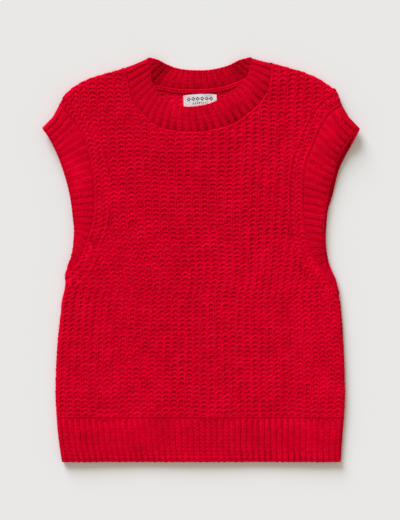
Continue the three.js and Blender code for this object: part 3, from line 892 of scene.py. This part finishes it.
def make_inside():
    """The inside of the back body, where it shows through the neck."""
    k, r = grid(np.arange(*INSIDE["wales"]), np.arange(*INSIDE["rows"]))
    x, y = wale_xy(k, r)
    gap, _ = neck_back.distance_to(x, y)
    covered = (np.abs(x - BEHIND_LABEL["x"]) < BEHIND_LABEL["half"]) & (y < BEHIND_LABEL["y"])
    keep = (gap > INSIDE["off"]) & (np.abs(x) < INSIDE["x"]) & ~covered
    k, r = k[keep], r[keep]

    def place(k, r, w):
        return on_inside(*wale_xy(k, r), w)

    def along_neck(k, r, w):
        along = CHAIN["length"] * r
        way = neck_back.way(along)
        down = np.stack((way[..., 1], -way[..., 0]), -1)
        at = neck_back.at(along) + down * (CHAIN["off"] - CHAIN["width"] * k)[..., None]
        return on_inside(at[..., 0], at[..., 1], w)

    found = loops(ARCH_PATH, k, r, place, lift=-0.9, thick=0.95, flat=FLAT["body"])
    first, last = CHAIN["ends"] / CHAIN["length"], (neck_back.length - CHAIN["ends"]) / CHAIN["length"]
    links = np.arange(int(first), int(last)).astype(float)
    chain = loops(VEE_PATH, 0 * links, links, along_neck, lift=0.3, sides=5)
    # painted light: the stitches inside the back are lighter than the front's yarn, down in the neck where
    # less light reaches
    tones = [shades(len(k)) + 0.15, shades(len(links)) - 0.02]
    return yarn_object("back_inside_stitches", [found[0], chain[0]], tones, "knit"), found


EDGE_TONE = -0.15


def edge_yarn(name, rows, slot, closed):
    """Yarn that binds off a free edge. rows holds (points, normals) of each edge, in millimetres."""
    parts, tones = [], []
    for points, normals in rows:
        radii = YARN * 1.05 * (1 + 0.14 * np.sin(np.arange(len(points)) * 1.9))
        parts.append(tubes(points[None], normals[None], radii[None], sides=7, closed=closed))
        tones.append(shades(1) + EDGE_TONE)
    return yarn_object(name, parts, tones, slot)


BAND_EDGE = {"step": 2.2, "front": (0.965, -1.6), "inside": (0.975, -1.5)}  # share across, and height


def wiggle(count, height):
    """A small wave along an edge."""
    return height * np.sin(np.arange(count) * 1.3)


def band_edge(band):
    """The free edge of a band, all the way round its front and back."""
    front = np.linspace(0, 1, int(band.length / BAND_EDGE["step"]))
    inner = np.linspace(0.01, 0.99, int(band.back_length / BAND_EDGE["step"]))[::-1]
    found = []
    for face, lay, s in (("front", band.lay, front), ("inside", band.lay_inside, inner)):
        across, height = BAND_EDGE[face]
        found.append(lay(s, across + 0 * s, wiggle(len(s), 0.25) + height))
    (a, normals_a), (b, normals_b) = found
    return np.vstack((a, b)), np.vstack((normals_a, normals_b))


SEAM_STEP = 2.4
SEAM_ENDS = (-3, 2, 2)  # how far the yarn of each seam runs past its ends
SEAM_HEIGHT = {"round": -1.25, "hem": -0.7}


def seam_yarn():
    """The yarn that the seams are sewn with, which fills the groove between two pieces."""
    rows = []
    for curve, past in zip((neck_front, *arm_seams), SEAM_ENDS):
        at = curve.at(np.arange(-past, curve.length + past, SEAM_STEP))
        rows.append(lay_body(at[:, 0], at[:, 1], np.full(len(at), SEAM_HEIGHT["round"])))
    x = np.arange(left_side(HEM_SEAM_Y), right_side(HEM_SEAM_Y), SEAM_STEP)
    rows.append(lay_body(x, np.full_like(x, HEM_SEAM_Y), np.full_like(x, SEAM_HEIGHT["hem"])))
    return edge_yarn("seam_yarn", rows, "rib", False)


HEM_BIND = {"steps": 190, "in": 1, "up": 1.6, "depth": 1.4, "lean": 0.7}  # the hem's bound edge


def hem_edge():
    """The yarn that binds off the hem, on the front and the back."""
    count = HEM_BIND["steps"]
    x = np.linspace(left_side(HEM_EDGE_Y) + HEM_BIND["in"], right_side(HEM_EDGE_Y) - HEM_BIND["in"], count)
    y = np.full_like(x, HEM_EDGE_Y + HEM_BIND["up"])
    middle, half = layers(x, y)
    rows = []
    for side in (1, -1):
        z = middle + side * (half - HEM_BIND["depth"]) + wiggle(count, 0.2)
        normal = np.tile([0, -HEM_BIND["lean"], HEM_BIND["lean"] * side], (count, 1))
        rows.append((np.stack((x, y, z), -1), normal))
    return edge_yarn("hem_edge", rows, "rib", False)


body_pieces, body_found = make_body()
hem_piece, hem_found = make_hem()
bands = {
    "neckband": Band(NECK),
    "armband_left": Band(LEFT_ARM, 3.5, 4),
    "armband_right": Band(RIGHT_ARM, 3, 6),
}
band_pieces, band_found = {}, []
for name, band in bands.items():
    piece, found = make_band(name, band)
    band_pieces[name] = [piece, edge_yarn(name + "_edge", [band_edge(band)], "rib", True)]
    band_found += found
inside_piece, inside_found = make_inside()
hem_edge_piece = hem_edge()
seam_piece = seam_yarn()


# Fuzz

FIBRE_CLEAR = 0.1  # fibres stay this far above the floor
LONGEST_FIBRE = 6


def fuzz(name, found, count, slot):
    """Short loose fibres of the wool, each one thin triangle that starts on a stitch."""
    points = np.concatenate([p.reshape(-1, 3) for _, p, _ in found])
    normals = np.concatenate([n.reshape(-1, 3) for _, _, n in found])
    pick = rng.integers(0, len(points), count)
    at, up = points[pick], normals[pick]
    spin = rng.normal(0, 1, (count, 3))
    side = np.cross(up, spin)
    side /= np.linalg.norm(side, axis=1, keepdims=True)
    root = at + up * rng.uniform(0.2, 1.3, (count, 1)) * YARN + side * rng.uniform(-1, 1, (count, 1)) * YARN
    across = np.cross(up, side)
    length = np.minimum(rng.gamma(4.0, 0.9, (count, 1)), LONGEST_FIBRE)
    rise = up * length * rng.uniform(-0.05, 0.28, (count, 1))
    tip = root + side * length + rise + across * rng.normal(0, 0.8, (count, 1))
    width = rng.uniform(0.04, 0.08, (count, 1))
    verts = np.stack((root - across * width, root + across * width, tip), 1).reshape(-1, 3)
    verts[:, 2] = np.maximum(verts[:, 2], FIBRE_CLEAR)
    tones = np.repeat(rng.normal(0.12, 0.1, count), 3)
    faces = np.arange(count * 3).reshape(-1, 3)
    return finish_piece(name, mesh_of(name, verts, faces, tones, fibre_wool), slot)


body_fuzz = fuzz("front_fuzz", body_found, 100000, "knit")
rib_fuzz = fuzz("rib_fuzz", [*hem_found, *band_found, inside_found], 50000, "rib")


# The label

LABEL = {"width": 50, "height": 20, "x": -1.4, "y": 237.8, "tilt": 2, "rise": 1.5, "thick": 0.7, "floor": 5.8,
         "lean": 0.9}
# Plain marks in two rows: how far apart, how far up or down, and their sizes
LOZENGES = {"step": 6.68, "up": 3.0, "size": 2.3, "line": 0.95, "to": 20.04}
BARS = {"step": 3.0, "down": 3.4, "half": 0.7, "height": 1.05, "to": 10.6}
THREAD = {"weft": 0.35, "warp": 0.5}  # spacing of the ribbon's threads
HALF = LOZENGES["step"] / 2
LABEL_STEPS = (  # name, operation, and what goes in, by name or as a number
    ("moved", "ADD", "u", 29 * HALF),
    ("column", "PINGPONG", "moved", HALF),
    ("above", "SUBTRACT", "v", LOZENGES["up"]),
    ("row", "ABSOLUTE", "above"),
    ("size", "ADD", "column", "row"),
    ("off", "SUBTRACT", "size", LOZENGES["size"]),
    ("line", "ABSOLUTE", "off"),
    ("lozenge", "LESS_THAN", "line", LOZENGES["line"]),
    ("side", "ABSOLUTE", "u"),
    ("within", "LESS_THAN", "side", LOZENGES["to"]),
    ("lozenges", "MULTIPLY", "lozenge", "within"),
    ("along", "ADD", "u", 100.0),
    ("beat", "PINGPONG", "along", BARS["step"] / 2),
    ("bar", "LESS_THAN", "beat", BARS["half"]),
    ("below", "ADD", "v", BARS["down"]),
    ("level", "ABSOLUTE", "below"),
    ("low", "LESS_THAN", "level", BARS["height"]),
    ("barred", "MULTIPLY", "bar", "low"),
    ("short", "LESS_THAN", "side", BARS["to"]),
    ("bars", "MULTIPLY", "barred", "short"),
    ("marks", "MAXIMUM", "lozenges", "bars"),
    ("weft_turn", "MULTIPLY", "v", 2 * math.pi / THREAD["weft"]),
    ("weft", "SINE", "weft_turn"),
    ("warp_turn", "MULTIPLY", "u", 2 * math.pi / THREAD["warp"]),
    ("warp", "SINE", "warp_turn"),
    ("weave", "ADD", "weft", "warp"),
)


def ribbon():
    """Woven satin ribbon, white, with a plain row of small grey lozenges over a row of short bars."""
    material, tree, shader = new_material("white_woven_ribbon", {"Roughness": 0.55, "Sheen Weight": 0.1})
    uv = add(tree, "UVMap", {}, uv_map="UVMap").outputs["UV"]  # millimetres from the label's middle
    parts = add(tree, "SeparateXYZ", {"Vector": uv}).outputs
    values = {"u": parts["X"], "v": parts["Y"]}
    for name, operation, *terms in LABEL_STEPS:
        inputs = {i: values.get(term, term) for i, term in enumerate(terms)}
        values[name] = add(tree, "Math", inputs, operation=operation).outputs[0]
    colours = {"Factor": values["marks"], "A": linear("#FBFFFF"), "B": linear("#67666F")}
    mix = add(tree, "Mix", colours, data_type="RGBA")
    bump = add(tree, "Bump", {"Strength": 0.2, "Distance": 0.02 * MM, "Height": values["weave"]})
    tree.links.new(mix.outputs["Result"], shader.inputs["Base Color"])
    tree.links.new(bump.outputs["Normal"], shader.inputs["Normal"])
    return material


def make_label():
    """The label: a ribbon, slightly bent, that leans up towards the front."""
    mesh = bmesh.new()
    columns, rows = 30, 12
    tilt = math.radians(LABEL["tilt"])
    layer = mesh.loops.layers.uv.new("UVMap")
    placed = {}
    top = []
    for i in range(columns + 1):
        for j in range(rows + 1):
            u, v = i / columns - 0.5, j / rows - 0.5
            px = u * LABEL["width"]
            py = v * LABEL["height"] + LABEL["rise"] * (1 - (2 * u) ** 2)
            bend = 0.25 * math.cos(u * 9 + 1) * math.cos(v * 3)
            x = LABEL["x"] + px * math.cos(tilt) - py * math.sin(tilt)
            y = LABEL["y"] + px * math.sin(tilt) + py * math.cos(tilt)
            z = LABEL["floor"] + LABEL["thick"] + bend - LABEL["lean"] * v
            vert = mesh.verts.new((x * MM, y * MM, z * MM))
            placed[vert] = (px, v * LABEL["height"])
            top.append(vert)
    for i in range(columns):
        for j in range(rows):
            a = i * (rows + 1) + j
            face = mesh.faces.new((top[a], top[a + rows + 1], top[a + rows + 2], top[a + 1]))
            face.smooth = True
            for loop in face.loops:
                loop[layer].uv = placed[loop.vert]
    bmesh.ops.solidify(mesh, geom=list(mesh.faces), thickness=LABEL["thick"] * MM)
    bmesh.ops.recalc_face_normals(mesh, faces=mesh.faces)
    name = "neck_label_woven"
    return finish_piece(name, data_of(name, mesh, ribbon()), "ribbon", "neck_label")


label = make_label()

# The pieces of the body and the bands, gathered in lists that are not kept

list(body_pieces)
for name, band in bands.items():
    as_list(band_pieces[name])

# Light, floor and camera

PIXEL = 1.5 * MM  # of the picture, at the height of the cloth
FRAME_HEIGHT = 520 * PIXEL
CLOTH_HEIGHT = 8 * MM
LENS = 85
SENSOR = 36
FLOOR_HALF = 6  # half the floor's width, in metres
SUN = {"energy": 3.84, "colour": (0.831, 0.86, 1.0), "spread": 34, "way": (0.9, -1.85, -1)}
SKY = {"colour": (1.0, 0.97, 0.82, 1), "strength": 0.5}


def make_camera():
    """A camera straight above, a little left of the middle."""
    data = bpy.data.cameras.new("camera")
    data.lens = LENS
    data.sensor_width = SENSOR
    data.clip_end = 20
    camera = new_object("camera", data)
    camera.location = (-1.0 * PIXEL, 0, FRAME_HEIGHT * LENS / SENSOR + CLOTH_HEIGHT)
    bpy.context.scene.camera = camera


def make_floor():
    """Plain matt paper, pale, which throws back no shine."""
    material, _, _ = new_material("pale_floor", {
        "Base Color": linear("#EFEEEC"), "Roughness": 1.0, "Specular IOR Level": 0.0,
    })
    mesh = bmesh.new()
    bmesh.ops.create_grid(mesh, x_segments=1, y_segments=1, size=FLOOR_HALF)
    floor = new_object("floor", data_of("floor", mesh, material))
    floor.location = (0, 0, -0.2 * MM)


def make_light():
    """Soft daylight from the upper left, low over the floor, and a warm even sky."""
    data = bpy.data.lights.new("window", "SUN")
    data.energy = SUN["energy"]
    data.color = SUN["colour"]
    data.angle = math.radians(SUN["spread"])
    sun = new_object("window", data)
    sun.location = (-0.8, 0.9, 1.2)
    sun.rotation_mode = "QUATERNION"
    sun.rotation_quaternion = Vector(SUN["way"]).to_track_quat("-Z", "Y")
    world = bpy.data.worlds.new("studio")
    world.use_nodes = True
    sky = world.node_tree.nodes["Background"]
    sky.inputs["Color"].default_value = SKY["colour"]
    sky.inputs["Strength"].default_value = SKY["strength"]
    bpy.context.scene.world = world
    bpy.context.scene.view_settings.view_transform = "Standard"


make_camera()
make_floor()
make_light()
